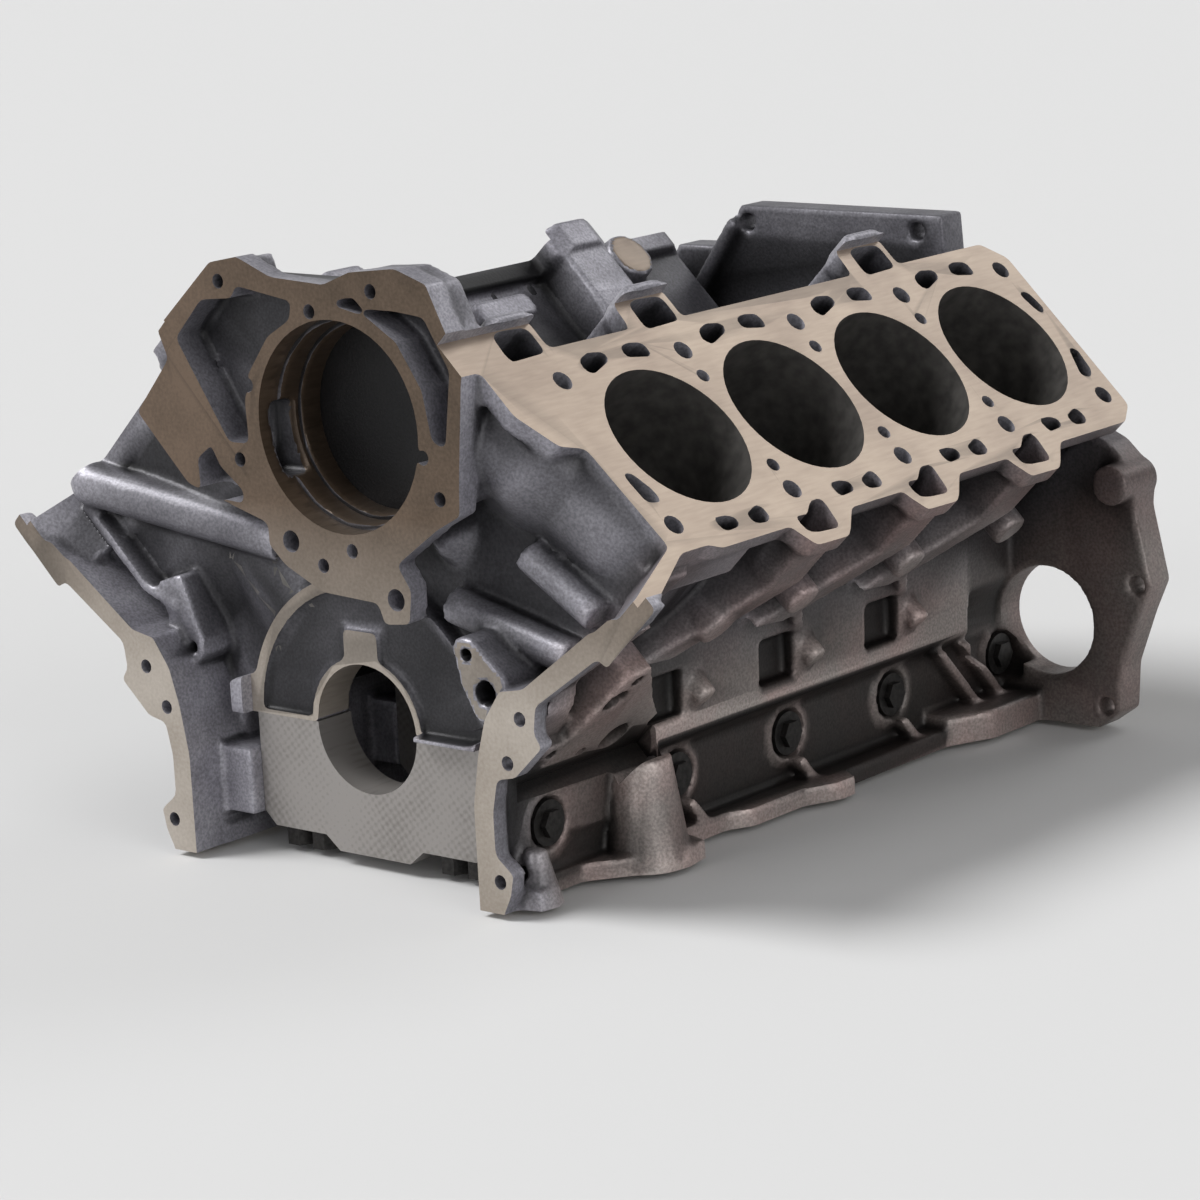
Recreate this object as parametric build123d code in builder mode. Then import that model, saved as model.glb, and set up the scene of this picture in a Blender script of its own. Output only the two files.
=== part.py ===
# Bare V8 engine block of cast iron with its main bearing caps and cap bolts.
# Millimetres. X to the right seen from the front, Y from front to rear, Z up.
# The origin is on the crankshaft axis, at the front face of the front bearing.
import os
from math import cos, radians, sin, sqrt

from build123d import *

# Cylinders and banks, at 45 degrees to each side of the vertical
bore_diameter = 90.2
bore_pitch = 100.0
bore_count = 4
first_bore = 81.6
rear_margin = 64.4
bank_stagger = 20.0
deck_height = 227.0
deck_thickness = 12.0
deck_edge = 70.0
bore_foot = 72.0
bore_end = 85.0
bore_relief = 2.0
jacket_radius = 57.0
jacket_foot = 92.0
core_boss_height = 150.0
core_boss_reach = 79.0
core_boss_radius = 11.0
shoulder_boss_height = 95.0
shoulder_boss_reach = 90.0
shoulder_boss_radius = 7.0
filter_pad_reach = 88.0
valley_pad_reach = 76.0
column_straight = 38.0
column_foot = 118.0

# Crankshaft bearings and their caps
main_bore_diameter = 72.4
main_width = 21.0
end_main_width = 26.0
cap_half_width = 82.0
cap_depth = 64.0
cap_keel = 8.0
cap_fit = 0.3
crank_room_radius = 84.0

# Crankcase
skirt_inside = 104.0
skirt_outside = 114.0
shoulder_outside = 125.0
shoulder_height = 48.0
ledge_height = -20.0
pan_face = -76.5
rail_thickness = 10.0
foot_radius = 25.0
foot_height = 60.0
corner_foot_radius = 14.0
corner_foot_height = 30.0
shoulder_pocket_depth = 12.0
valley_floor = 118.0

# Front covers and pump
cover_face = -33.0
cover_flange = 11.0
front_wall = 12.0
pump_x = 24.5
pump_z = 173.8
pump_bore_diameter = 114.0
pump_step = 3.0
pump_depth = 41.0
pocket_depth = 20.0
front_rim_radius = 84.5
front_rim_width = 6.5
front_rim_step = 3.0
lug_face = -27.0

# Bell housing flange
bell_overhang = 9.0
bell_thickness = 21.0
bell_rib = 8.0
bell_bolt_diameter = 11.0
starter_x = 149.0
starter_z = -15.0
starter_diameter = 66.0
starter_relief = 2.0
starter_room = 42.0
rear_rail_thickness = 17.0

# Bolts and drillings
head_bolt_diameter = 12.0
head_bolt_reach = 49.2
head_bolt_depth = 60.0
passage_depth = 22.0
return_depth = 34.0
oil_hole_diameter = 8.4
oil_hole_places = (-31.0, 32.2)
cover_hole_diameter = 8.0
cover_hole_depth = 24.0
cap_bolt_diameter = 11.0
cap_bolt_inner = 48.0
cap_bolt_outer = 67.0
cap_bolt_grip = 34.0
cap_bolt_head = 12.0
cap_bolt_head_radius = 8.5
cross_bolt_diameter = 9.0
cross_bolt_drop = 39.0
cross_bolt_seat = 111.0
cross_bolt_gap = 2.0
cross_flange_radius = 12.5
cross_flange_height = 5.0
cross_head_radius = 8.0
cross_head_height = 4.0
cross_boss_width = 6.0
cross_boss_height = 5.0
cap_seat_height = 38.0
bolt_fit = 0.2

SIN45 = sqrt(0.5)
bore_places = [first_bore + bore_pitch * i for i in range(bore_count)]
bolt_rows = [first_bore + bore_pitch * (i - 0.5) for i in range(bore_count + 1)]
core_boss_places = [first_bore + 24] + bore_places[1:]
last_bore = bore_places[-1]
block_rear = last_bore + rear_margin
bell_face = block_rear + bell_overhang
bearings = [end_main_width / 2]
bearings += [row - bank_stagger / 2 for row in bolt_rows[1:-1]]
bearings += [block_rear - end_main_width / 2]
widths = [end_main_width] + [main_width] * (bore_count - 1) + [end_main_width]
banks = ((1, 0.0), (-1, -bank_stagger))
cross_bolt_tip = cap_bolt_outer + cap_bolt_diameter / 2 + cross_bolt_gap

os.makedirs("parts", exist_ok=True)


def bank_plane(side, height):
    """Plane across a bank at a height from the crank axis; local x is outward, y is side * Y."""
    return Plane(
        origin=(side * height * SIN45, 0, height * SIN45),
        x_dir=(side * SIN45, 0, -SIN45),
        z_dir=(side * SIN45, 0, SIN45),
    )


def flank_plane(side, reach):
    """Plane along the outer flank of a bank; local x is side * Y, y is the height above the crank."""
    return Plane(
        origin=(side * reach * SIN45, 0, -reach * SIN45),
        x_dir=(0, side, 0),
        z_dir=(side * SIN45, 0, -SIN45),
    )


def skirt_plane(side, reach):
    """Upright plane along the skirt; local x is side * Y, y is Z."""
    return Plane(origin=(side * reach, 0, 0), x_dir=(0, side, 0), z_dir=(side, 0, 0))


def front_plane(y):
    """Plane facing the front of the engine; local x is X, y is Z."""
    return Plane(origin=(0, y, 0), x_dir=(1, 0, 0), z_dir=(0, -1, 0))


def placed(points, side, shift, start=0.0):
    """Points (across, along) of the right bank, moved along and mirrored to the wanted bank."""
    return [(u, side * (y + start + shift)) for u, y in points]


def mirrored(points, side):
    """Points (X, Z) of the right half, mirrored to the wanted side."""
    return [(side * x, z) for x, z in points]


def outline(points, radius):
    """Closed face with rounded corners, added to the sketch in use."""
    with BuildLine() as border:
        FilletPolyline(*points, radius=radius, close=True)
    make_face(border.edges())


# Outlines on the deck, as (across, along); the rear ones run from the last bore
front_right = [(-deck_edge, -19), (-36, -18.5), (-12, -4), (-7, 12), (62, 17), (66, 44)]
front_left = [(-deck_edge, 16.5), (62, 16.5), (66, 44)]
rear_deck = [(deck_edge, 50), (60, rear_margin), (-56, rear_margin), (-69.5, 50)]
valley_tabs = (first_bore - 87.6, first_bore + 23.4, last_bore - 77.6)
tab_shape = [(-60, 0), (-86, 2), (-93, 11), (-93, 36), (-88, 45), (-60, 45)]
tab_window = [(-67, 12), (-85, 13), (-87, 20), (-86, 37), (-84, 41), (-68, 41)]
tab_column = [(-55, 2), (-89, 5), (-89, 42), (-55, 43)]
tab_column_foot = [(-55, 4), (-76, 8), (-76, 39), (-55, 41)]
lower_tab = [(60, -22), (74, -20), (85, -13), (85.5, 14), (82, 19), (deck_edge, 32), (60, 32)]
lower_window = [(65, -14), (66, -3.5), (59, 6), (59, 16), (77.5, 13.5), (79, 11), (78, -5), (76, -12.5)]
lower_column = [(45, -18), (81, -14), (82, 14), (45, 28)]
lower_column_foot = [(45, -62), (70, -58), (72, -34), (45, -28)]
valley_kidney = [(-61, 7), (-62, 15), (-60, 25.5), (-50, 25.5), (-53.5, 5.5)]
valley_window = [(-59, -28), (-62, -19), (-60, -6), (-54, -8), (-48, -26), (-53, -30)]
flank_kidney = [(52, -21), (52.5, -11), (55, -4.5), (61, -5.5), (62, -20)]
flank_window = [(55.5, 4), (52, 15), (53, 19), (61.5, 19.5), (63.5, 15), (62.5, 5)]
front_slot = [(12, -58.6), (14, -51.6), (26.6, -46.1), (35, -45.6), (33, -56.6)]
rear_slot_valley = [(-31.5, 48.4), (-30.5, 57.4), (-16, 60.4), (-12.5, 53.4)]
rear_slot_flank = [(12, 53.4), (16, 59.4), (31, 57.4), (36, 52.4), (33.5, 44.4)]

# Decks, jackets and oil return columns of the two banks
with BuildPart() as bank_walls:
    for side, shift in banks:
        front = front_right if side > 0 else front_left
        with BuildSketch(bank_plane(side, deck_height)):
            rear = [(u, y + last_bore) for u, y in rear_deck]
            outline(placed(front + [(deck_edge, 52)] + rear, side, shift), 4)
            for start in valley_tabs:
                Polygon(*placed(tab_shape, side, shift, start), align=None)
            for row in bolt_rows[1:-1]:
                Polygon(*placed(lower_tab, side, shift, row), align=None)
        extrude(amount=-deck_thickness)
        rear = block_rear - 8
        with BuildSketch(bank_plane(side, deck_height - deck_thickness / 2)):
            Polygon(*placed([(-62, 40), (50, 40), (50, rear), (-62, rear)], side, shift), align=None)
            for y in bore_places:
                with Locations(placed([(0, y)], side, shift)[0]):
                    Circle(jacket_radius)
        extrude(amount=jacket_foot - deck_height)
        # Oil return columns below the tabs, straight past the windows and then drawn in
        columns = [(tab_column, tab_column_foot, start) for start in valley_tabs]
        columns += [(lower_column, lower_column_foot, row) for row in bolt_rows[1:-1]]
        for shape, foot, start in columns:
            with BuildSketch(bank_plane(side, deck_height - deck_thickness / 2)):
                Polygon(*placed(shape, side, shift, start), align=None)
            extrude(amount=-column_straight)
            with BuildSketch(bank_plane(side, deck_height - deck_thickness / 2 - column_straight)):
                Polygon(*placed(shape, side, shift, start), align=None)
            with BuildSketch(bank_plane(side, column_foot)):
                Polygon(*placed(foot, side, shift, start), align=None)
            loft()

# Rounded jacket ends at the front of each bank: section height and outline, from the deck down
right_front = [
    (221, [(-66, -11), (-38, -12), (-17, -1), (-9, 13), (40, 17), (60, 20), (58, 70), (-56, 70)]),
    (205, [(-68, -13), (-42, -14), (-14, -10), (5, 1), (40, 8), (62, 16), (56, 70), (-55, 70)]),
    (186, [(-72, -20), (-45, -21), (-16, -12), (5, 2), (40, 10), (60, 18), (54, 70), (-54, 70)]),
    (168, [(-62, -4), (-38, -5), (-14, 2), (4, 12), (38, 18), (56, 23), (52, 70), (-52, 70)]),
    (148, [(-48, 16), (-30, 13), (-12, 17), (0, 22), (34, 26), (50, 30), (50, 70), (-48, 70)]),
    (106, [(-42, 22), (-28, 20), (-12, 24), (0, 28), (30, 31), (46, 35), (46, 70), (-42, 70)]),
]
left_front = [
    (221, [(-66, 18), (60, 20), (60, 70), (-66, 70)]),
    (155, [(-66, 18), (60, 20), (60, 70), (-66, 70)]),
    (106, [(-50, 30), (48, 34), (48, 70), (-50, 70)]),
]
fascia = [(60.5, 17), (84, cover_face), (96, cover_face), (66, 22), (66, 96), (50, 96), (50, 17)]
with BuildPart() as bank_fronts:
    for side, shift, sections in ((1, 0.0, right_front), (-1, -bank_stagger, left_front)):
        for height, points in sections:
            with BuildSketch(bank_plane(side, height)):
                outline(placed(points, side, shift), 7)
        loft(ruled=side < 0)
        # Fascia below the deck edge and the strip that runs out to the cover flange
        with BuildSketch(bank_plane(side, deck_height)):
            Polygon(*[(u, side * (y if y == cover_face else y + shift)) for u, y in fascia], align=None)
        extrude(amount=-40)
    # Machined pad and cast block on the valley side of the left bank
    with BuildSketch(flank_plane(-1, -valley_pad_reach)):
        with Locations((-360, 212)):
            Circle(16.0)
        with Locations((-229, 195)):
            RectangleRounded(48, 16, 5)
    extrude(amount=20)

# Core bosses on the flanks, each with a web down to a smaller boss on the crankcase shoulder
with BuildPart() as flank_bosses:
    for side, shift in banks:
        upper = [(side * (y + shift), core_boss_height) for y in core_boss_places]
        lower = [(side * (y + shift), shoulder_boss_height) for y in bolt_rows[1:-1]]
        with BuildSketch(flank_plane(side, core_boss_reach)):
            with Locations(*upper):
                Circle(core_boss_radius)
        extrude(amount=-34)
        with BuildSketch(flank_plane(side, shoulder_boss_reach)):
            with Locations(*lower):
                Circle(shoulder_boss_radius)
        extrude(amount=-30)
        # Web from the upper boss down and rearward to the lower one
        with BuildSketch(flank_plane(side, core_boss_reach - 6)):
            for (y, h), (foot_y, foot_h) in zip(upper[1:], lower[1:]):
                Polygon((y - 5, h), (y + 5, h), (foot_y + 5, foot_h), (foot_y - 5, foot_h), align=None)
        extrude(amount=-22)

# Filter pad on the right flank, close behind the front flange
filter_pad = [(-8, 96), (14, 97), (20, 127), (24, 150), (40, 152), (52, 138), (74, 112), (94, 92)]
filter_pad += [(86, 78), (44, 68), (14, 76)]
with BuildPart() as filter_mount:
    with BuildSketch(flank_plane(1, filter_pad_reach)):
        Polygon(*filter_pad, align=None)
    extrude(amount=-26)
    with BuildSketch(flank_plane(1, filter_pad_reach)):
        with Locations((31, 126)):
            Circle(8.0)
        with Locations((62, 84)):
            Circle(10.0)
        with Locations((8, 88), (38, 80), (36, 142)):
            RegularPolygon(3.5, 8)
    extrude(amount=-10, mode=Mode.SUBTRACT)

# Crankcase with skirts and pan rails
case_half = [(0, valley_floor), (62, valley_floor), (shoulder_outside, shoulder_height)]
case_half += [(shoulder_outside - 2, ledge_height + 4), (skirt_outside, ledge_height - 4)]
case_half += [(skirt_outside, pan_face), (0, pan_face)]
rail_half = [(90, 0), (121, 0), (127, -19), (136, -19), (136, -4), (119, 8), (119, 34), (131, 50)]
rail_half += [(143, 66), (152, 84), (148, 104), (126, 110), (126, 150), (134, 165), (134, 210), (144, 232)]
rail_half += [(144, 246), (131, 256), (131, 355), (144, 385), (144, block_rear), (90, block_rear)]
rear_rail = [(110, 355), (131, 355), (144, 385), (144, block_rear), (110, block_rear)]
front_panel = [(27, -18), (65, -19), (73, -50), (30, -47)]
skirt_rib = [(-5, -50), (2, -50), (20, -70), (10, -70)]
rear_rib = [(-4, -22), (4, -22), (41, -62), (33, -62)]
with BuildPart() as crankcase:
    with BuildSketch(front_plane(front_wall)):
        for side in (1, -1):
            Polygon(*mirrored(case_half, side), align=None)
    extrude(amount=front_wall - block_rear)
    with BuildSketch(Plane.XY.offset(pan_face)):
        for side in (1, -1):
            Polygon(*mirrored(rail_half, side), align=None)
    extrude(amount=rail_thickness)
    for side in (1, -1):
        with BuildSketch(Plane.XY.offset(pan_face)):
            Polygon(*mirrored(rear_rail, side), align=None)
        extrude(amount=rear_rail_thickness)
        # Tapered mounting foot on the rail, and a smaller one at its front corner
        with BuildSketch(Plane.XY.offset(pan_face)):
            with Locations((side * 126, 80)):
                Circle(foot_radius)
        extrude(amount=foot_height, taper=9)
        with BuildSketch(Plane.XY.offset(pan_face)):
            with Locations((side * 124, -8)):
                RegularPolygon(corner_foot_radius, 8)
        extrude(amount=corner_foot_height, taper=14)
        with BuildSketch(skirt_plane(side, shoulder_outside + 1)):
            for row in bolt_rows[1:-1]:
                with Locations((side * (row - 27), 9)):
                    Rectangle(32, 26)
        extrude(amount=-shoulder_pocket_depth, mode=Mode.SUBTRACT)
        # Bosses around the cross bolts, a raised panel behind the first and ribs below the others
        with BuildSketch(skirt_plane(side, cross_bolt_seat + cross_boss_height)):
            for y in bearings:
                with Locations((side * y, -cross_bolt_drop)):
                    RegularPolygon(cross_flange_radius + cross_boss_width, 16)
            Polygon(*[(side * y, z) for y, z in front_panel], align=None)
        extrude(amount=-cross_boss_height)
        with BuildSketch(skirt_plane(side, shoulder_outside)):
            for y in bearings[1:-1]:
                Polygon(*[(side * (y + along), z) for along, z in skirt_rib], align=None)
            for y in (362, 387):
                Polygon(*[(side * (y + along), z) for along, z in rear_rib], align=None)
        extrude(amount=-14)

# Front bulkhead, chain chamber walls and the flanges for the timing cover
chamber_half = [(214, 90), (229, 95.5), (224, 89.5), (151, 39), (149, 24), (154, 17.5), (134.5, -1)]
chamber_half += [(122, -3.5), (118, -22), (118, -45), (129.5, -54), (127, -66), (121.5, pan_face)]
chamber_half += [(109, pan_face), (108.3, -20), (113.5, 7), (119, 28), (130, 44), (145, 46.5), (204, 91)]
wall_half = [(194, 76), (143, 42), (139, 28), (126, 10), (116, -6), (114, pan_face), (105, pan_face)]
wall_half += [(105, -20), (110, 8), (116, 28), (127, 44), (143, 47), (190, 82)]
front_half = [(0, 40), (0, 118), (60, 122), (118, 150), (200, 100), (128, 44), (108, 5), (80, 0)]
lug = [(90, 63), (94, 68), (103, 68), (125.6, 48.8), (126.4, 41.9), (112, 21), (104, 26), (95, 42)]
ridge_start = (-190, -10, 121)
ridge_run = (130, 18, -23)
ridge_radius = 12.5
with BuildPart() as chain_case:
    for side in (1, -1):
        with BuildSketch(front_plane(cover_face)):
            Polygon(*mirrored(chamber_half, side), align=None)
        extrude(amount=-cover_flange)
        with BuildSketch(front_plane(cover_face)):
            Polygon(*mirrored(wall_half, side), align=None)
        extrude(amount=cover_face - front_wall)
        with BuildSketch(front_plane(front_wall)):
            Polygon(*mirrored(front_half, side), align=None)
        extrude(amount=-end_main_width)
    with BuildSketch(front_plane(lug_face)):
        outline(lug, 2)
    extrude(amount=lug_face - 16)
    with BuildSketch(front_plane(0)):
        Circle(front_rim_radius)
        with Locations((0, -60)):
            Rectangle(300, 120, mode=Mode.SUBTRACT)
        Polygon((-96, 0), (-96, 18), (-76, 24), (-76, 0), align=None)
    extrude(amount=-end_main_width)
    # Rounded gallery low across the right, with the boss ring and its column on the left
    with BuildSketch(Plane(origin=(66, 4, 76), x_dir=(0, 1, 0), z_dir=(80, 0, -20))):
        Circle(10.0)
    extrude(amount=84)
    with BuildSketch(Plane(origin=(118, 6, 108), x_dir=(0, 1, 0), z_dir=(44, 0, -28))):
        Circle(9.0)
    extrude(amount=54)
    with BuildSketch(front_plane(-12)):
        with Locations((-118, 35)):
            Circle(8.5)
        Polygon((-142, 70), (-124, 76), (-110, 40), (-122, 30), (-132, 36), align=None)
    extrude(amount=-26)
    with BuildSketch(front_plane(-14)):
        Polygon((-197, 107), (-192, 110), (-150, 69), (-128, 60), (-128, 54), (-153, 64), align=None)
    extrude(amount=-28)
    # Gallery along the front of the left bank
    with BuildSketch(Plane(origin=ridge_start, x_dir=(0, 1, 0), z_dir=ridge_run)):
        Circle(ridge_radius)
    extrude(amount=Vector(*ridge_run).length)
    with Locations(ridge_start):
        Sphere(ridge_radius)

# Pump housing at the top of the front, one face with the timing-cover flanges
pump_outline = [(-61.5, 256.5), (-41, 260.5), (-17, 251), (21, 249), (40, 256.5), (72, 260), (93, 253)]
pump_outline += [(114, 210), (108, 152), (107, 134), (91, 125.5), (61, 104), (70, 91), (67.5, 73)]
pump_outline += [(50, 71), (46, 82), (6, 84), (-20, 96), (-31, 106), (-31, 118), (-90, 135)]
pump_outline += [(-125, 171), (-98, 202), (-105, 218)]
pump_body = [(-60, 255), (-41, 259), (-38, 249), (42, 249), (44, 257), (72, 259), (92, 252), (112, 210)]
pump_body += [(106, 140), (84, 130), (30, 110), (-31, 118), (-88, 134), (-123, 171), (-97, 202), (-103, 218)]
with BuildPart() as pump_housing:
    with BuildSketch(front_plane(cover_face)):
        Polygon(*pump_outline, align=None)
    extrude(amount=-14)
    with BuildSketch(front_plane(cover_face)):
        Polygon(*pump_body, align=None)
    extrude(amount=cover_face + 4)
    with BuildSketch(front_plane(cover_face)):
        with Locations((pump_x, pump_z)):
            Circle(pump_bore_diameter / 2 + 9)
    extrude(amount=-(pump_depth + 10))
    # Walls that join the housing to the two banks
    with BuildSketch(front_plane(cover_face)):
        Polygon((104, 150), (104, 206), (112, 210), (108, 150), align=None)
        Polygon((-86, 134), (-120, 168), (-98, 200), (-60, 140), align=None)
    extrude(amount=-44)

# Bell housing flange at the rear
bell_right = [(0, 225), (82, 225), (84, 196), (150, 130), (176, 105), (196, 96), (215, 78), (213, 58)]
bell_right += [(223, 14), (214, -6), (202, -38), (200, -66), (180, -80), (140, -80), (128, pan_face)]
bell_right += [(0, pan_face)]
bell_left = [(-x, z) for x, z in bell_right]
bell_left[1:4] = [(-70, 225), (-76, 199), (-120, 198), (-150, 150)]
boss_x = 204
boss_z = 74
bell_bolts = [(63.5, 214.5), (213, 13), (190, -63), (boss_x, boss_z)]
with BuildPart() as bell_flange:
    with BuildSketch(front_plane(bell_face - bell_thickness)):
        Polygon(*bell_right, align=None)
        Polygon(*bell_left, align=None)
    extrude(amount=-bell_thickness)
    for side in (1, -1):
        with BuildSketch(front_plane(bell_face - 34)):
            with Locations((side * boss_x, boss_z)):
                Circle(12.0)
        extrude(amount=-34)
    # Rib on the flange's front, beside the left bank
    with BuildSketch(front_plane(bell_face - bell_thickness - bell_rib)):
        Polygon((-73, 218), (-66, 214), (-105, 160), (-112, 164), align=None)
    extrude(amount=-bell_rib)

# Cylinders, passages and windows that open on each deck
with BuildPart() as deck_openings:
    for side, shift in banks:
        with BuildSketch(bank_plane(side, deck_height)):
            for y in bore_places:
                with Locations(placed([(0, y)], side, shift)[0]):
                    Circle(bore_diameter / 2)
        extrude(amount=bore_end - deck_height, clean=False)
        with BuildSketch(bank_plane(side, bore_end)):
            for y in bore_places:
                with Locations(placed([(0, y)], side, shift)[0]):
                    Circle(bore_diameter / 2 + bore_relief)
        extrude(amount=bore_foot - bore_end, clean=False)
        with BuildSketch(bank_plane(side, deck_height)):
            for row in bolt_rows:
                with Locations(*placed([(-head_bolt_reach, row), (head_bolt_reach, row)], side, shift)):
                    Circle(head_bolt_diameter / 2)
        extrude(amount=-head_bolt_depth, clean=False)
        with BuildSketch(bank_plane(side, deck_height)):
            for y in bore_places:
                for shape in (valley_kidney, flank_kidney, flank_window, valley_window):
                    Polygon(*placed(shape, side, shift, y), align=None)
            for row in bolt_rows[1:-1]:
                with Locations(*placed([(u, row) for u in oil_hole_places], side, shift)):
                    RegularPolygon(oil_hole_diameter / 2, 8)
            Polygon(*placed(front_slot, side, shift, first_bore), align=None)
            for shape in (rear_slot_valley, rear_slot_flank):
                Polygon(*placed(shape, side, shift, last_bore), align=None)
        extrude(amount=-passage_depth, clean=False)
        with BuildSketch(bank_plane(side, deck_height)):
            for row in bolt_rows[1:-1]:
                Polygon(*placed(lower_window, side, shift, row), align=None)
            for start in valley_tabs:
                Polygon(*placed(tab_window, side, shift, start), align=None)
        extrude(amount=-return_depth, clean=False)
        # Nothing of the casting stands above the deck faces
        with BuildSketch(bank_plane(side, deck_height)):
            with Locations((22, side * 200)):
                Rectangle(190, 700)
        extrude(amount=40, clean=False)

# Crank bore, the room for the crankshaft and the open space between the skirts
rim_gap = [(front_rim_radius * cos(radians(a)), front_rim_radius * sin(radians(a))) for a in range(2, 93, 9)]
with BuildPart() as crank_openings:
    with BuildSketch(front_plane(-1)):
        Circle(main_bore_diameter / 2)
        with Locations((0, pan_face / 2 - 1)):
            Rectangle(2 * skirt_inside, -pan_face + 2)
    extrude(amount=-(bell_face + 2), clean=False)
    for i in range(bore_count):
        start = bearings[i] + widths[i] / 2
        end = bearings[i + 1] - widths[i + 1] / 2
        with BuildSketch(front_plane(start)):
            Circle(crank_room_radius)
        extrude(amount=start - end, clean=False)
    # Face inside the front rim, around the machined ring and pad of the bearing
    with BuildSketch(front_plane(-1)):
        Polygon((0, 0), *rim_gap, align=None)
        Circle(front_rim_radius - front_rim_width)
        Circle(main_bore_diameter / 2 + 3.5, mode=Mode.SUBTRACT)
        with Locations((-1, 40)):
            Rectangle(24, 28, mode=Mode.SUBTRACT)
        with Locations((0, -45)):
            Rectangle(200, 94, mode=Mode.SUBTRACT)
    extrude(amount=-(front_rim_step + 1), clean=False)

# Pump bore in steps, cast pockets and the holes of the front face
left_pocket = [(-43, 245), (-47, 238), (-60, 237), (-70, 236), (-91, 214), (-56, 160), (-41, 160)]
left_pocket += [(-42, 183), (-38, 198), (-22, 219), (-5, 229), (-3, 239)]
right_pocket = [(21, 241), (42, 243.5), (48, 238), (70, 238), (90, 236), (106, 209), (100, 168), (91, 172)]
right_pocket += [(86, 198), (70, 222), (50, 234), (30, 238)]
heart_window = [(-70, 157), (-64, 146), (-48, 134), (-48, 127), (-80, 129), (-81, 149)]
cover_holes = [(9.7, 234.2), (-39.1, 192), (-48.7, 150.9), (83.9, 162.7), (94.1, 141.8), (29.6, 108.3)]
cover_holes += [(8, 98.4), (-55.9, 246.7), (54.3, 247.3), (120.3, -59), (130, 6.3), (140, 31)]
cover_holes += [(-120.5, -59), (-120, 5.4), (-134, 27)]
with BuildPart() as front_openings:
    for step, depth in ((0, 14), (pump_step, 27), (2 * pump_step, pump_depth)):
        with BuildSketch(front_plane(cover_face)):
            with Locations((pump_x, pump_z)):
                Circle(pump_bore_diameter / 2 - step)
        extrude(amount=-depth)
    with BuildSketch(front_plane(cover_face + 10)):
        Polygon((-44, 182), (-44, 142), (pump_x, 142), (pump_x, 182), align=None)
    extrude(amount=-14)
    with BuildSketch(front_plane(cover_face)):
        for shape in (left_pocket, right_pocket, heart_window):
            Polygon(*shape, align=None)
    extrude(amount=-pocket_depth)
    with BuildSketch(front_plane(cover_face)):
        with Locations(*cover_holes):
            RegularPolygon(cover_hole_diameter / 2, 8)
        with Locations((-14.8, 109.4), (58.9, 85.1)):
            RegularPolygon(6.0, 8)
    extrude(amount=-cover_hole_depth, clean=False)
    with BuildSketch(front_plane(lug_face)):
        with Locations((111.6, 39.7)):
            Circle(6.5)
        with Locations((99.8, 59.1), (-118, 35)):
            RegularPolygon(3.5, 8)
    extrude(amount=-29, clean=False)

# Starter opening and flange holes of the bell housing
with BuildPart() as rear_openings:
    with BuildSketch(front_plane(bell_face - bell_thickness - starter_room)):
        with Locations((starter_x, starter_z)):
            Circle(starter_diameter / 2 + starter_relief)
    extrude(amount=-starter_room, clean=False)
    with BuildSketch(front_plane(bell_face - bell_thickness - 1)):
        with Locations((starter_x, starter_z)):
            Circle(starter_diameter / 2)
    extrude(amount=-(bell_thickness + 2), clean=False)
    with BuildSketch(front_plane(bell_face - 26)):
        for side in (1, -1):
            with Locations(*mirrored(bell_bolts, side)):
                Circle(bell_bolt_diameter / 2)
    extrude(amount=-27, clean=False)

# Seats between the skirts for the caps, and the holes for their bolts
with BuildPart() as cap_seats:
    for y, width in zip(bearings, widths):
        for side in (1, -1):
            with BuildSketch(skirt_plane(side, skirt_inside + 2)):
                with Locations((side * y, -cross_bolt_drop)):
                    Rectangle(width, cap_seat_height)
            extrude(amount=-(skirt_inside + 2 - cap_half_width - cap_fit))

with BuildPart() as bolt_holes:
    for side in (1, -1):
        with BuildSketch(skirt_plane(side, cross_bolt_seat + 20)):
            for y in bearings:
                with Locations((side * y, -cross_bolt_drop)):
                    RegularPolygon(cross_flange_radius + 2.0, 12)
        extrude(amount=-20, clean=False)
        with BuildSketch(skirt_plane(side, cross_bolt_seat + 1)):
            for y in bearings:
                with Locations((side * y, -cross_bolt_drop)):
                    RegularPolygon(cross_bolt_diameter / 2 + bolt_fit, 8)
        extrude(amount=-40, clean=False)
    with BuildSketch(Plane.XY.offset(-1)):
        for y in bearings:
            for x in (cap_bolt_inner, cap_bolt_outer):
                with Locations((x, y), (-x, y)):
                    RegularPolygon(cap_bolt_diameter / 2 + bolt_fit, 8)
    extrude(amount=cap_bolt_grip + 2, clean=False)

with BuildPart() as cylinder_block:
    add([crankcase.part, bank_walls.part, bank_fronts.part, flank_bosses.part, chain_case.part], clean=False)
    add(filter_mount.part, clean=False)
    add([pump_housing.part, bell_flange.part], clean=False)
    add([deck_openings.part, crank_openings.part], mode=Mode.SUBTRACT, clean=False)
    add([front_openings.part, rear_openings.part], mode=Mode.SUBTRACT, clean=False)
    add(cap_seats.part, clean=False)
    add(bolt_holes.part, mode=Mode.SUBTRACT)
cylinder_block.part.label = "cylinder_block"
export_step(cylinder_block.part, "parts/cylinder_block.step")

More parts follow.
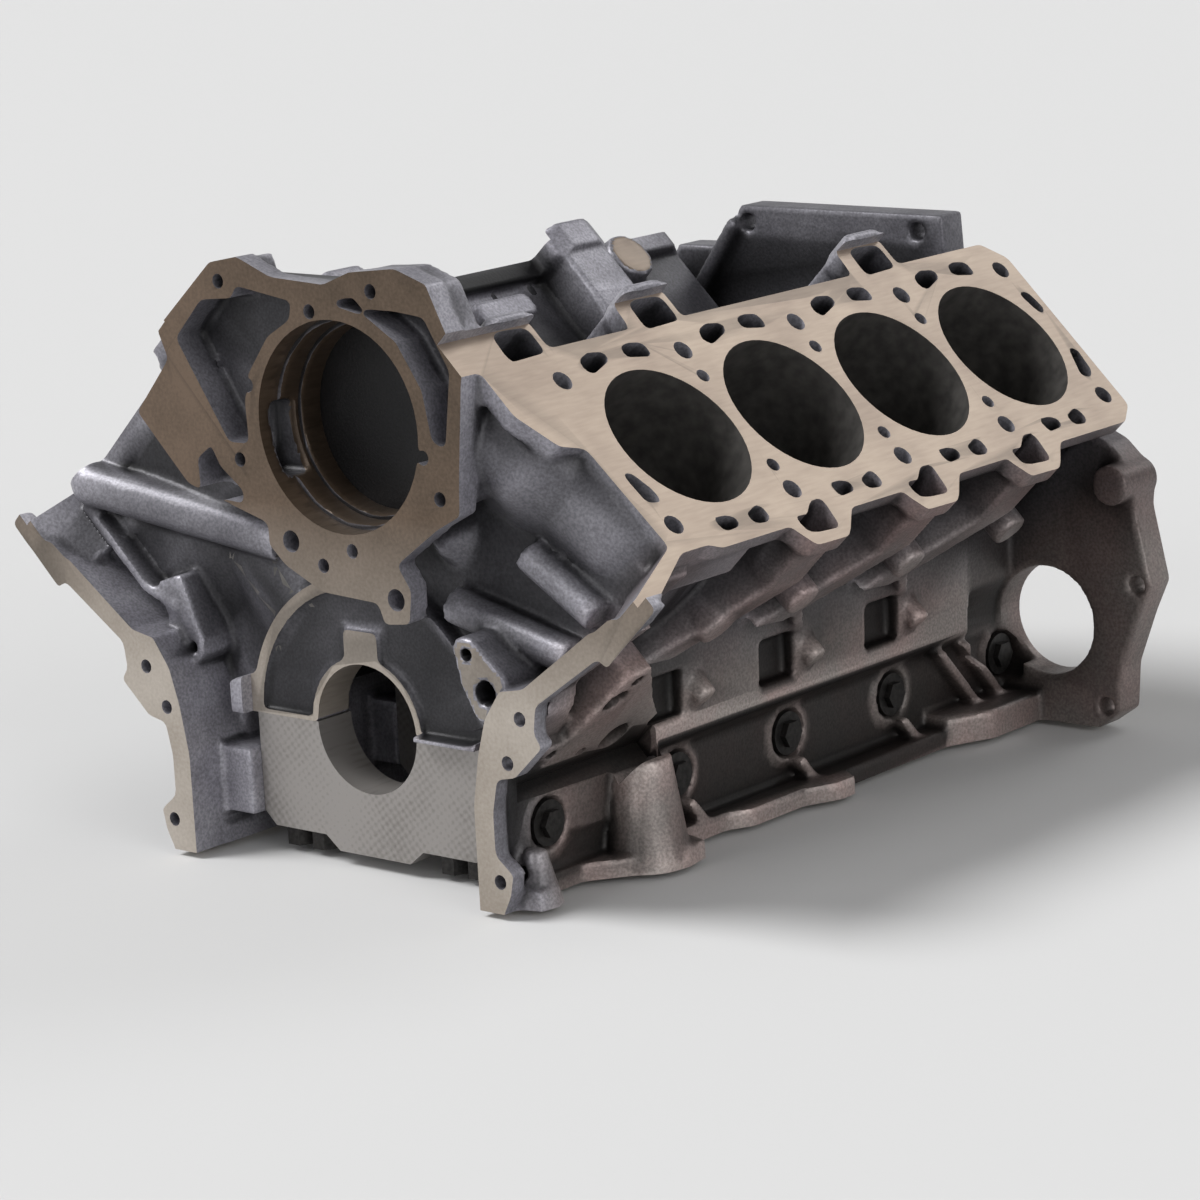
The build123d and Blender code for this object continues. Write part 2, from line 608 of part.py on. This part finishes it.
# Main bearing caps: the lower half of each bearing, drawn up by four bolts
cap_outline = [(cap_half_width, 0), (cap_half_width, 8 - cap_depth), (cap_half_width - 8, -cap_depth)]
cap_outline += [(36, -cap_depth), (26, -cap_depth - cap_keel)]
cap_outline += [(-x, z) for x, z in reversed(cap_outline)]
for number, (y, width) in enumerate(zip(bearings, widths), 1):
    with BuildPart() as main_cap:
        with BuildSketch(front_plane(y - width / 2)):
            Polygon(*cap_outline, align=None)
            Circle(main_bore_diameter / 2, mode=Mode.SUBTRACT)
        extrude(amount=-width)
        with BuildSketch(Plane.XY):
            for x in (cap_bolt_inner, cap_bolt_outer):
                with Locations((x, y), (-x, y)):
                    RegularPolygon(cap_bolt_diameter / 2 + bolt_fit, 8)
        extrude(amount=-cap_depth - cap_keel, mode=Mode.SUBTRACT)
        for side in (1, -1):
            with BuildSketch(skirt_plane(side, cap_half_width)):
                with Locations((side * y, -cross_bolt_drop)):
                    RegularPolygon(cross_bolt_diameter / 2 + bolt_fit, 8)
            extrude(amount=cross_bolt_tip - cap_half_width - bolt_fit, mode=Mode.SUBTRACT)
    main_cap.part.label = f"main_cap_{number}"
    export_step(main_cap.part, f"parts/main_cap_{number}.step")

    # Four cap bolts: shank, washer face and hexagon head under the cap
    with BuildPart() as cap_bolts:
        places = [(x * side, y) for x in (cap_bolt_inner, cap_bolt_outer) for side in (1, -1)]
        with BuildSketch(Plane.XY.offset(-cap_depth)):
            with Locations(*places):
                RegularPolygon(cap_bolt_diameter / 2, 8)
        extrude(amount=cap_depth + cap_bolt_grip)
        with BuildSketch(Plane.XY.offset(-cap_depth)):
            with Locations(*places):
                RegularPolygon(cap_bolt_head_radius, 6)
        extrude(amount=-cap_bolt_head)
    cap_bolts.part.label = f"cap_bolts_{number}"
    export_step(cap_bolts.part, f"parts/cap_bolts_{number}.step")

    # Cross bolts that hold the cap to the skirt from each side
    for side, name in ((1, "right"), (-1, "left")):
        with BuildPart() as cross_bolt:
            with BuildSketch(skirt_plane(side, cross_bolt_seat)):
                with Locations((side * y, -cross_bolt_drop)):
                    Circle(cross_flange_radius)
            extrude(amount=cross_flange_height)
            with BuildSketch(skirt_plane(side, cross_bolt_seat + cross_flange_height)):
                with Locations((side * y, -cross_bolt_drop)):
                    RegularPolygon(cross_head_radius, 6)
            extrude(amount=cross_head_height)
            with BuildSketch(skirt_plane(side, cross_bolt_seat)):
                with Locations((side * y, -cross_bolt_drop)):
                    RegularPolygon(cross_bolt_diameter / 2, 8)
            extrude(amount=cross_bolt_tip - cross_bolt_seat)
        cross_bolt.part.label = f"cross_bolt_{name}_{number}"
        export_step(cross_bolt.part, f"parts/cross_bolt_{name}_{number}.step")
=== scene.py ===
from math import cos, radians, sin, sqrt

import bmesh
import bpy
import numpy as np
from mathutils import Matrix, Vector


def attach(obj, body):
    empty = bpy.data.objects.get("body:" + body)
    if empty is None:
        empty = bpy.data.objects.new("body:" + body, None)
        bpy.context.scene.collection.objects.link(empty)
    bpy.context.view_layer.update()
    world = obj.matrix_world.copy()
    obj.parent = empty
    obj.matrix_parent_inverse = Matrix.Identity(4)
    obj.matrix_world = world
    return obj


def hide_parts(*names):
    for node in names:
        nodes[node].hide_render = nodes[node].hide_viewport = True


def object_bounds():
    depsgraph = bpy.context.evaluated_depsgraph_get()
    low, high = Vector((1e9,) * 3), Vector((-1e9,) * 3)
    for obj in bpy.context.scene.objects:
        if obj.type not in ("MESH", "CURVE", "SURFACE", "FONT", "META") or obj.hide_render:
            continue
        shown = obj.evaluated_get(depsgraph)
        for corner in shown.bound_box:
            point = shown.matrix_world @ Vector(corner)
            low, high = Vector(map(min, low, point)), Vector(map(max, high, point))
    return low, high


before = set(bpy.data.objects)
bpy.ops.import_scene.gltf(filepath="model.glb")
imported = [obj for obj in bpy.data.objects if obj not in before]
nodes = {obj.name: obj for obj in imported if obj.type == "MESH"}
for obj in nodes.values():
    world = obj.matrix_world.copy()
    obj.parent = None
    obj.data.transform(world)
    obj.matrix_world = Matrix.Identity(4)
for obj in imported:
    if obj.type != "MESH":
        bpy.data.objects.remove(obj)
cad_low, cad_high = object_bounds()

# Sizes of the block in metres, as the part's source has them
MM = 0.001
SIN45 = sqrt(0.5)
DECK = 227.0 * MM
BORE = 45.1 * MM
MAIN_BORE = 36.2 * MM
COVER_FACE = -33.0 * MM
BELL_FACE = 455.0 * MM
LUG_FACE = -27.0 * MM
VALLEY_PAD = 76.0 * MM
PAN_FACE = -76.5 * MM
FIRST_BORE = 81.6 * MM
PITCH = 100.0 * MM
STAGGER = 20.0 * MM
BANKS = ((1, 0.0), (-1, -STAGGER))


def linear(hex_colour):
    """Linear RGBA of an sRGB colour such as 'A09C97'."""
    parts = [int(hex_colour[i:i + 2], 16) / 255 for i in (0, 2, 4)]
    return [c / 12.92 if c <= 0.04045 else ((c + 0.055) / 1.055) ** 2.4 for c in parts] + [1.0]


def add_node(tree, kind, values=None, **settings):
    """One shader node with its settings, and its inputs set by value or linked from a socket."""
    node = tree.nodes.new(kind)
    for key, value in settings.items():
        setattr(node, key, value)
    for key, value in (values or {}).items():
        if isinstance(value, bpy.types.NodeSocket):
            tree.links.new(value, node.inputs[key])
        else:
            node.inputs[key].default_value = value
    return node


def new_material(name):
    """An empty material, its tree, the metre coordinates of the object and its surface shader."""
    material = bpy.data.materials.new(name)
    material.use_nodes = True
    tree = material.node_tree
    tree.nodes.clear()
    place = add_node(tree, "ShaderNodeTexCoord").outputs["Object"]
    shader = add_node(tree, "ShaderNodeBsdfPrincipled")
    output = add_node(tree, "ShaderNodeOutputMaterial", {"Surface": shader.outputs["BSDF"]})
    return material, tree, place, shader


def noise(tree, place, size, detail=2.0, rough=0.5):
    """Noise value with grains about size metres across."""
    values = {"Vector": place, "Scale": 1.0 / size, "Detail": detail, "Roughness": rough}
    return add_node(tree, "ShaderNodeTexNoise", values).outputs["Fac"]


def ramp(tree, value, *stops):
    """Colour ramp over value with stops of (position, sRGB hex)."""
    node = add_node(tree, "ShaderNodeValToRGB", {"Fac": value})
    elements = node.color_ramp.elements
    while len(elements) < len(stops):
        elements.new(0.5)
    for element, (position, colour) in zip(elements, stops):
        element.position = position
        element.color = linear(colour)
    return node.outputs["Color"]


# Rough cast iron: blue-grey at the front, red-brown on the right flank, sand grain all over, with painted edge
# highlights and painted shade
def cast_iron():
    material, tree, place, shader = new_material("cast_iron_rough")
    split = add_node(tree, "ShaderNodeSeparateXYZ", {"Vector": place})
    grain = noise(tree, place, 1.6 * MM, 3.0)
    cold = ramp(tree, noise(tree, place, 35 * MM, 3.0), (0.35, "525156"), (0.65, "656469"))
    rust = noise(tree, place, 45 * MM, 3.0)
    # Red-brown rust tone of the flank, with painted shade: darker higher up, where the flank lies under the deck
    shaded_rust = ramp(tree, rust, (0.4, "4F4847"), (0.65, "594B49"))
    lit_rust = ramp(tree, rust, (0.4, "6A6461"), (0.65, "716461"))
    shade_by_height = add_node(tree, "ShaderNodeMapRange", {
        "Value": split.outputs["Z"], "From Min": 30 * MM, "From Max": 75 * MM})
    warm = add_node(tree, "ShaderNodeMix", {0: shade_by_height.outputs[0], 6: lit_rust, 7: shaded_rust},
                    data_type="RGBA").outputs[2]
    reach = add_node(tree, "ShaderNodeMath", {0: split.outputs["X"], 1: split.outputs["Z"]},
                     operation="SUBTRACT")
    side = add_node(tree, "ShaderNodeMapRange", {
        "Value": reach.outputs[0], "From Min": 70 * MM, "From Max": 115 * MM})
    back = add_node(tree, "ShaderNodeMapRange", {
        "Value": split.outputs["Y"], "From Min": -25 * MM, "From Max": 15 * MM})
    both = add_node(tree, "ShaderNodeMath", {0: side.outputs[0], 1: back.outputs[0]}, operation="MULTIPLY")
    colour = add_node(tree, "ShaderNodeMix", {0: both.outputs[0], 6: cold, 7: warm}, data_type="RGBA")
    # Painted highlight on convex edges and painted shade in creases, from how far each point stands out of its
    # neighbours
    edge_sheen_and_shade = add_node(tree, "ShaderNodeAttribute", attribute_name="edge_sheen_and_shade").outputs["Fac"]
    edge = add_node(tree, "ShaderNodeMapRange", {
        "Value": edge_sheen_and_shade, "From Min": -0.10, "From Max": 0.12, "To Min": 0.4, "To Max": 1.7})
    # Painted shade in broad hollows, from how far each point stands out of its surroundings some 14 mm across
    stand = add_node(tree, "ShaderNodeAttribute", attribute_name="stand").outputs["Fac"]
    depth = add_node(tree, "ShaderNodeMapRange", {
        "Value": stand, "From Min": -5 * MM, "From Max": 4 * MM, "To Min": 0.2, "To Max": 1.6})
    rear = add_node(tree, "ShaderNodeMapRange", {
        "Value": split.outputs["Y"], "From Min": 330 * MM, "From Max": 430 * MM, "To Min": 1.0, "To Max": 0.5})
    sand = add_node(tree, "ShaderNodeMapRange", {
        "Value": grain, "From Min": 0.35, "From Max": 0.65, "To Min": 0.78, "To Max": 1.22})
    # Brightness of the cast: painted edge highlight and crease shade, painted shade in hollows, darker towards
    # the rear, and the sand grain
    light = edge.outputs[0]
    for factor in (depth, rear, sand):
        light = add_node(tree, "ShaderNodeMath", {0: light, 1: factor.outputs[0]},
                         operation="MULTIPLY").outputs[0]
    shaded = add_node(tree, "ShaderNodeHueSaturation", {"Color": colour.outputs[2], "Value": light})
    tree.links.new(shaded.outputs["Color"], shader.inputs["Base Color"])
    shader.inputs["Metallic"].default_value = 0.5
    shader.inputs["Roughness"].default_value = 0.44
    bump = add_node(tree, "ShaderNodeBump", {"Height": grain, "Strength": 0.28, "Distance": 0.5 * MM})
    tree.links.new(bump.outputs["Normal"], shader.inputs["Normal"])
    return material


# Milled iron faces, warm beige on the decks and browner on the front flanges
def milled(name, dark, light, roughness, metallic=0.55, high=None, marks=0.0):
    material, tree, place, shader = new_material(name)
    stretched = add_node(tree, "ShaderNodeMapping", {"Vector": place, "Scale": (1.0, 0.12, 1.0)})
    blotch = noise(tree, place, 60 * MM, 3.0)
    streak = noise(tree, stretched.outputs[0], 2 * MM, 2.0)
    half = add_node(tree, "ShaderNodeMix", {0: 0.3, 2: blotch, 3: streak})
    for turn in (38, -52):
        # Crossed cutter marks, left by the milling head
        way = add_node(tree, "ShaderNodeMapping", {"Vector": place, "Rotation": (0.0, radians(turn), 0.0)})
        wave = add_node(tree, "ShaderNodeTexWave", {
            "Vector": way.outputs[0], "Scale": 0.08 / MM, "Distortion": 2.0, "Detail": 2.0})
        part = add_node(tree, "ShaderNodeMath", {0: wave.outputs["Fac"], 1: marks}, operation="MULTIPLY")
        half = add_node(tree, "ShaderNodeMath", {0: half.outputs[0], 1: part.outputs[0]}, operation="ADD")
    colour = ramp(tree, half.outputs[0], (0.35, dark), (0.65, light))
    if high:
        # Browner and darker with height above the crank
        split = add_node(tree, "ShaderNodeSeparateXYZ", {"Vector": place})
        rise = add_node(tree, "ShaderNodeMapRange", {
            "Value": split.outputs["Z"], "From Min": 30 * MM, "From Max": 130 * MM})
        upper_colour = ramp(tree, half.outputs[0], (0.35, high[0]), (0.65, high[1]))
        colour = add_node(tree, "ShaderNodeMix", {0: rise.outputs[0], 6: colour, 7: upper_colour},
                          data_type="RGBA").outputs[2]
    # Painted highlight along the edges of the milled face and its holes
    edge_sheen_and_shade = add_node(tree, "ShaderNodeAttribute", attribute_name="edge_sheen_and_shade").outputs["Fac"]
    painted_rim_light = add_node(tree, "ShaderNodeMapRange", {
        "Value": edge_sheen_and_shade, "From Min": 0.10, "From Max": 0.30, "To Min": 1.0, "To Max": 1.5})
    shown = add_node(tree, "ShaderNodeHueSaturation", {"Color": colour, "Value": painted_rim_light.outputs[0]})
    tree.links.new(shown.outputs["Color"], shader.inputs["Base Color"])
    shader.inputs["Metallic"].default_value = metallic
    shader.inputs["Roughness"].default_value = roughness
    bump = add_node(tree, "ShaderNodeBump", {"Height": streak, "Strength": 0.12, "Distance": 0.1 * MM})
    tree.links.new(bump.outputs["Normal"], shader.inputs["Normal"])
    return material


# Bored cylinder walls: dark and honed
def bored():
    material, tree, place, shader = new_material("bored_iron")
    tree.links.new(ramp(tree, noise(tree, place, 8 * MM), (0.3, "5A5856"), (0.7, "75726F")),
                   shader.inputs["Base Color"])
    shader.inputs["Metallic"].default_value = 0.7
    shader.inputs["Roughness"].default_value = 0.36
    return material


# Black oxide of the bolts
def black_steel():
    material, tree, place, shader = new_material("black_oxide_steel")
    tree.links.new(ramp(tree, noise(tree, place, 3 * MM), (0.3, "242322"), (0.7, "3A3837")),
                   shader.inputs["Base Color"])
    shader.inputs["Metallic"].default_value = 0.7
    shader.inputs["Roughness"].default_value = 0.4
    return material


CAST = cast_iron()
DECK_IRON = milled("milled_deck_iron", "74675C", "897C6F", 0.36)
COVER_IRON = milled("milled_cover_iron", "7F776E", "99928A", 0.36, high=("3B3127", "594B3F"))
CAP_IRON = milled("milled_cap_iron", "75716D", "979390", 0.36, marks=0.10)
BORED = bored()
BLACK_STEEL = black_steel()


# Block casting: the CAD block remeshed and smoothed so its cast edges are round, then cut again on
# every machined face and in every bore, so those edges are crisp.
def push_out(mesh, origin, normal, distance):
    """Moves every face that lies on a plane outward, drawing walls after it, so a later cut is clean."""
    origin, normal = Vector(origin), Vector(normal).normalized()
    work = bmesh.new()
    work.from_mesh(mesh)
    bmesh.ops.remove_doubles(work, verts=work.verts, dist=0.01 * MM)
    picked = [f for f in work.faces
              if f.normal.dot(normal) > 0.999 and abs((f.calc_center_median() - origin).dot(normal)) < 0.02 * MM]
    made = bmesh.ops.extrude_face_region(work, geom=picked)
    moved = [g for g in made["geom"] if isinstance(g, bmesh.types.BMVert)]
    bmesh.ops.delete(work, geom=picked, context="FACES")
    bmesh.ops.translate(work, vec=normal * distance, verts=moved)
    work.to_mesh(mesh)
    work.free()


def modified(obj, kind, **settings):
    """Applies one modifier to an object's mesh."""
    modifier = obj.modifiers.new(kind, kind)
    for key, value in settings.items():
        setattr(modifier, key, value)
    graph = bpy.context.evaluated_depsgraph_get()
    mesh = bpy.data.meshes.new_from_object(obj.evaluated_get(graph))
    old = obj.data
    obj.modifiers.clear()
    obj.data = mesh
    bpy.data.meshes.remove(old)


def new_object(name, mesh):
    """A new object that shows a mesh."""
    obj = bpy.data.objects.new(name, mesh)
    bpy.context.scene.collection.objects.link(obj)
    return obj


def cutter(name, pieces):
    """One closed mesh of boxes and round bars; each is (size or (radius, length), matrix)."""
    work = bmesh.new()
    for size, matrix in pieces:
        if len(size) == 3:
            bmesh.ops.create_cube(work, size=1.0, matrix=matrix @ Matrix.Diagonal((*size, 1.0)))
        else:
            bmesh.ops.create_cone(work, cap_ends=True, segments=48 if size[0] > 12 * MM else 24, radius1=size[0],
                                  radius2=size[0], depth=size[1], matrix=matrix)
    mesh = bpy.data.meshes.new(name)
    work.to_mesh(mesh)
    work.free()
    return new_object(name, mesh)


def cut(obj, name, pieces):
    """Takes a group of boxes and bars away from an object."""
    tool = cutter(name, pieces)
    modified(obj, "BOOLEAN", operation="DIFFERENCE", solver="MANIFOLD", object=tool)
    bpy.data.objects.remove(tool)


def bar(start, direction, radius, length):
    """A round bar that starts at a point and runs along a direction."""
    direction = Vector(direction).normalized()
    turn = direction.to_track_quat("Z", "Y").to_matrix().to_4x4()
    return (radius, length), Matrix.Translation(Vector(start) + direction * length / 2) @ turn


def on_deck(side, across, along, height):
    """Point of a bank from its place across and along the deck and its height from the crank."""
    return Vector((side * (height + across) * SIN45, along, (height - across) * SIN45))


source = nodes["cylinder_block"]
shape = source.data.copy()
shape.materials.clear()
block = new_object("block_casting", shape)
DRAW = 8 * MM
FORWARD, REARWARD, DOWN = (0, -1, 0), (0, 1, 0), (0, 0, -1)
planes = [(Vector((side * SIN45, 0, SIN45)) * DECK, (side * SIN45, 0, SIN45)) for side, _ in BANKS]
planes += [((0, COVER_FACE, 0), FORWARD), ((0, BELL_FACE, 0), REARWARD), ((0, 0, PAN_FACE), DOWN)]
planes += [((0, 0, 0), FORWARD)]
for origin, normal in planes:
    push_out(shape, origin, normal, DRAW)
modified(block, "REMESH", mode="VOXEL", voxel_size=1.9 * MM)
modified(block, "SMOOTH", factor=0.5, iterations=5)

# Slabs that leave the machined planes, as the milling cutter does
slabs = []
for side, _ in BANKS:
    turn = Matrix.Rotation(radians(45 * side), 4, "Y")
    slabs.append(((175 * MM, 520 * MM, 24 * MM),
                  Matrix.Translation(on_deck(side, 0, 210 * MM, DECK + 12 * MM)) @ turn))
slabs.append(((500 * MM, 30 * MM, 400 * MM), Matrix.Translation((0, COVER_FACE - 15 * MM, 90 * MM))))
slabs.append(((500 * MM, 30 * MM, 400 * MM), Matrix.Translation((0, BELL_FACE + 15 * MM, 90 * MM))))
slabs.append(((320 * MM, 490 * MM, 30 * MM), Matrix.Translation((0, 200 * MM, PAN_FACE - 15 * MM))))
slabs.append(((400 * MM, 24 * MM, 30 * MM), Matrix.Translation((0, 444 * MM, PAN_FACE - 15 * MM))))
slabs.append(((100 * MM, 10 * MM, 90 * MM), Matrix.Translation((-36 * MM, -5 * MM, 43 * MM))))
slabs.append(bar((0, -10 * MM, 0), REARWARD, 41 * MM, 10 * MM))
# Face of the filter pad, on the slanted right flank
PAD_REACH = 88 * MM
pad_turn = Matrix.Rotation(radians(135), 4, "Y")
slabs.append(((90 * MM, 107 * MM, 20 * MM),
              Matrix.Translation(on_deck(1, PAD_REACH + 10 * MM, 42.5 * MM, 111 * MM)) @ pad_turn))
for index, slab in enumerate(slabs):
    cut(block, f"slab_{index}", [slab])

# Bored and drilled holes, as the part's source places them
HEAD_BOLT_REACH = 49.2 * MM
bars = []
for side, shift in BANKS:
    inward = (-side * SIN45, 0, -SIN45)
    for i in range(4):
        top = on_deck(side, 0, FIRST_BORE + PITCH * i + shift, DECK + 4 * MM)
        bars.append(bar(top, inward, BORE, DECK - 81 * MM))
    for i in range(5):
        for across in (-HEAD_BOLT_REACH, HEAD_BOLT_REACH):
            top = on_deck(side, across, FIRST_BORE + PITCH * (i - 0.5) + shift, DECK + 4 * MM)
            bars.append(bar(top, inward, 6 * MM, 50 * MM))
    for i in range(1, 4):
        for across in (-31 * MM, 32.2 * MM):
            top = on_deck(side, across, FIRST_BORE + PITCH * (i - 0.5) + shift, DECK + 4 * MM)
            bars.append(bar(top, inward, 4.2 * MM, 26 * MM))
PUMP = Vector((24.5, 0, 173.8)) * MM
COVER_HOLES = [(9.7, 234.2), (-39.1, 192), (-48.7, 150.9), (83.9, 162.7), (94.1, 141.8), (29.6, 108.3)]
COVER_HOLES += [(8, 98.4), (-55.9, 246.7), (54.3, 247.3), (120.3, -59), (130, 6.3), (140, 31)]
COVER_HOLES += [(-120.5, -59), (-120, 5.4), (-134, 27)]
for x, z in COVER_HOLES:
    bars.append(bar((x * MM, COVER_FACE - 3 * MM, z * MM), REARWARD, 4 * MM, 27 * MM))
for x, z in ((-14.8, 109.4), (58.9, 85.1)):
    bars.append(bar((x * MM, COVER_FACE - 3 * MM, z * MM), REARWARD, 6 * MM, 27 * MM))
for x, z in ((63.5, 214.5), (213, 13), (190, -63), (204, 74)):
    for side in (1, -1):
        bars.append(bar((side * x * MM, 428 * MM, z * MM), REARWARD, 5.5 * MM, 32 * MM))
bars.append(bar((149 * MM, 433 * MM, -15 * MM), REARWARD, 33 * MM, 30 * MM))
for x, z, radius in ((111.6, 39.7, 6.5), (99.8, 59.1, 3.5)):
    bars.append(bar((x * MM, -30 * MM, z * MM), REARWARD, radius * MM, 29 * MM))
for along, height, radius in ((31, 126, 8), (62, 84, 10), (8, 88, 3.5), (38, 80, 3.5), (36, 142, 3.5)):
    top = on_deck(1, PAD_REACH + 2 * MM, along * MM, height * MM)
    bars.append(bar(top, (-SIN45, 0, SIN45), radius * MM, 12 * MM))
cut(block, "drills", bars)
cut(block, "bearing_bar", [bar((0, -2 * MM, 0), REARWARD, MAIN_BORE, 460 * MM)])
for radius, depth in ((57, 14), (54, 27), (51, 41)):
    start = (PUMP.x, COVER_FACE - 2 * MM, PUMP.z)
    cut(block, "pump_bar", [bar(start, REARWARD, radius * MM, (depth + 2) * MM)])
modified(block, "DECIMATE", ratio=min(1.0, 185000 / sum(len(f.vertices) - 2 for f in block.data.polygons)))


def surface_of(centre, normal):
    """Index of the material of a face: 0 cast, 1 deck, 2 cover faces, 3 bores."""
    for side, shift in BANKS:
        height = (side * centre.x + centre.z) * SIN45
        if abs(height - DECK) < 0.05 * MM and (side * normal.x + normal.z) * SIN45 > 0.99:
            return 1
        along = centre.y - FIRST_BORE - shift
        if height > 70 * MM and -60 * MM < along < 3 * PITCH + 60 * MM:
            off = along - PITCH * round(along / PITCH)
            across = (side * centre.x - centre.z) * SIN45
            if abs(sqrt(off * off + across * across) - BORE) < 0.25 * MM:
                return 3
    reach = sqrt(centre.x ** 2 + centre.z ** 2)
    on_bearing = abs(centre.y) < 0.05 * MM and reach < 86 * MM
    if normal.y < -0.99 and (abs(centre.y - COVER_FACE) < 0.05 * MM or on_bearing):
        return 2
    if normal.y < -0.97 and abs(centre.y - LUG_FACE) < 0.25 * MM and 85 * MM < centre.x < 130 * MM:
        return 2
    if normal.y > 0.99 and abs(centre.y - BELL_FACE) < 0.05 * MM:
        return 2
    if normal.z < -0.99 and abs(centre.z - PAN_FACE) < 0.05 * MM:
        return 2
    inner = (centre.x + centre.z) * SIN45
    if abs(inner - VALLEY_PAD) < 0.3 * MM and abs(centre.y - 360 * MM) < 17 * MM and centre.x < 0:
        return 1
    if reach < MAIN_BORE + 0.3 * MM:
        return 2
    reach = sqrt((centre.x - PUMP.x) ** 2 + (centre.z - PUMP.z) ** 2)
    if reach < 57.3 * MM and centre.y < 9 * MM and (reach > 50.8 * MM):
        return 2
    return 0


block.data.materials.clear()
for material in (CAST, DECK_IRON, COVER_IRON, BORED):
    block.data.materials.append(material)
for face in block.data.polygons:
    face.material_index = surface_of(face.center, face.normal)
    face.use_smooth = True
block.data.set_sharp_from_angle(angle=radians(38))


def column(collection, key, width, kind=float):
    """One property of all mesh elements as an array with width columns."""
    values = np.empty(width * len(collection), kind)
    collection.foreach_get(key, values)
    return values.reshape(-1, width)


# Painted edge highlight and crease shade for each point: how far it stands out of its neighbours, in mean edge
# lengths, spread a little
places = column(block.data.vertices, "co", 3)
normals = column(block.data.vertices, "normal", 3)
ends = column(block.data.edges, "vertices", 2, int)
lengths = np.linalg.norm(places[ends[:, 0]] - places[ends[:, 1]], axis=1)
pairs = np.concatenate([ends, ends[:, ::-1]])
degree = np.maximum(np.bincount(pairs[:, 0], minlength=len(places)), 1)


def around(values):
    """Mean of the values of each point's neighbours, column by column."""
    sums = [np.bincount(pairs[:, 0], values[pairs[:, 1], k], len(places)) for k in range(values.shape[1])]
    return np.stack(sums, 1) / degree[:, None]


edge_sheen_and_shade = np.sum((places - around(places)) * normals, axis=1)[:, None] / np.median(lengths)
spread = places
for _ in range(4):
    edge_sheen_and_shade = (edge_sheen_and_shade + around(edge_sheen_and_shade)) / 2
# Painted shade in broad hollows: how far each point stands out of its surroundings about 14 mm across, spread a
# little
for _ in range(int((14 * MM / np.median(lengths)) ** 2)):
    spread = (spread + around(spread)) / 2
stand = np.sum((places - spread) * normals, axis=1)[:, None]
for _ in range(4):
    stand = (stand + around(stand)) / 2
for name, values in (("edge_sheen_and_shade", edge_sheen_and_shade), ("stand", stand)):
    block.data.attributes.new(name, "FLOAT", "POINT").data.foreach_set("value", values[:, 0].astype(np.float32))
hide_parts("cylinder_block")
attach(block, "root")

# Caps and bolts: the CAD nodes themselves, with a bevel on their edges
for name, node in nodes.items():
    if name == "cylinder_block":
        continue
    node.data.materials.clear()
    node.data.materials.append(CAP_IRON if name.startswith("main_cap") else BLACK_STEEL)
    bevel = node.modifiers.new("edge", "BEVEL")
    bevel.width = 0.8 * MM
    bevel.segments = 2
    bevel.limit_method = "ANGLE"
    bevel.angle_limit = radians(40)

# Floor and backdrop
floor_height = cad_low[2]
floor_mesh = bpy.data.meshes.new("floor")
floor_mesh.from_pydata([(x, y, floor_height) for x, y in ((-40, -40), (40, -40), (40, 40), (-40, 40))],
                       [], [(0, 1, 2, 3)])
floor = new_object("floor", floor_mesh)
material, tree, place, shader = new_material("pale_floor")
shader.inputs["Base Color"].default_value = linear("C9C9C9")
shader.inputs["Roughness"].default_value = 0.9
floor_mesh.materials.append(material)

world = bpy.data.worlds.new("studio")
bpy.context.scene.world = world
world.use_nodes = True
sky = world.node_tree
way = add_node(sky, "ShaderNodeSeparateXYZ", {"Vector": add_node(sky, "ShaderNodeTexCoord").outputs["Generated"]})
sky.links.new(ramp(sky, way.outputs["Z"], (0.10, "EAEAEA"), (0.55, "9A9A9A")),
              sky.nodes["Background"].inputs["Color"])
sky.nodes["Background"].inputs["Strength"].default_value = 0.75
bpy.context.scene.view_settings.view_transform = "Standard"


def soft_sun(name, place, strength, spread):
    """A distant soft light: the way to it, its strength in W/m2 and its width in degrees."""
    light = bpy.data.lights.new(name, "SUN")
    light.energy = strength
    light.angle = radians(spread)
    lamp = new_object(name, light)
    lamp.rotation_euler = Vector(place).to_track_quat("Z", "Y").to_euler()


soft_sun("sheen", (0.22, 0.74, 0.63), 0.55, 32)
soft_sun("key", (-0.45, -0.40, 0.80), 3.0, 26)
soft_sun("front", (-0.15, -0.93, 0.34), 0.5, 30)
soft_sun("side", (0.90, -0.25, 0.35), 0.9, 40)

# Camera at the photo's view, fitted on the block's known points
AZIMUTH, ELEVATION, ROLL = radians(40.393), radians(12.816), radians(-3.017)
DISTANCE = 2435.46 * MM
back = Vector((sin(AZIMUTH) * cos(ELEVATION), -cos(AZIMUTH) * cos(ELEVATION), sin(ELEVATION)))
right = (-back).cross(Vector((0, 0, 1))).normalized()
up = right.cross(-back)
turned_right = cos(ROLL) * right + sin(ROLL) * up
turned_up = -sin(ROLL) * right + cos(ROLL) * up
lens = bpy.data.cameras.new("camera")
lens.sensor_width = 36.0
lens.lens = 4115.602 / 1200 * 36.0
camera = bpy.data.objects.new("camera", lens)
bpy.context.scene.collection.objects.link(camera)
axes = Matrix((turned_right, turned_up, back)).transposed().to_4x4()
MIDDLE = Vector((-42.551, 250.0, 15.518)) * MM
camera.matrix_world = Matrix.Translation(MIDDLE + back * DISTANCE) @ axes
bpy.context.scene.camera = camera

bpy.context.view_layer.update()
